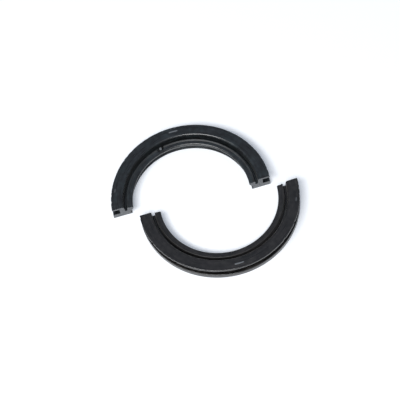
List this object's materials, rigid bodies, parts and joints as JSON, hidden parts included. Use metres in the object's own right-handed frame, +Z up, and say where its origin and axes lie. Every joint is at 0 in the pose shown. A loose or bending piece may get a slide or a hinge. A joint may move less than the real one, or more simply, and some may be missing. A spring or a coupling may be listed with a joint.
{
  "type": "two-piece rear main seal",
  "caption": "Split crankshaft seal as loose moulded rubber half rings, each with a sealing lip, a dust lip, a groove behind them and a channel round the outside.",
  "frame": {"origin": "middle of the box round both halves, on the surface that they lie on", "axes": "+Z up along the ring axis, towards the oil side; +X along the longer way across the pair; +Y from the lower half to the upper half"},
  "size_m": [0.1178, 0.1082, 0.0102],
  "materials": {
    "seal_rubber": "satin black moulded rubber with paler cut ends"
  },
  "bodies": {
    "root": {"upper_half_seal": "seal_rubber", "lower_half_seal": "seal_rubber"}
  },
  "joints": []
}
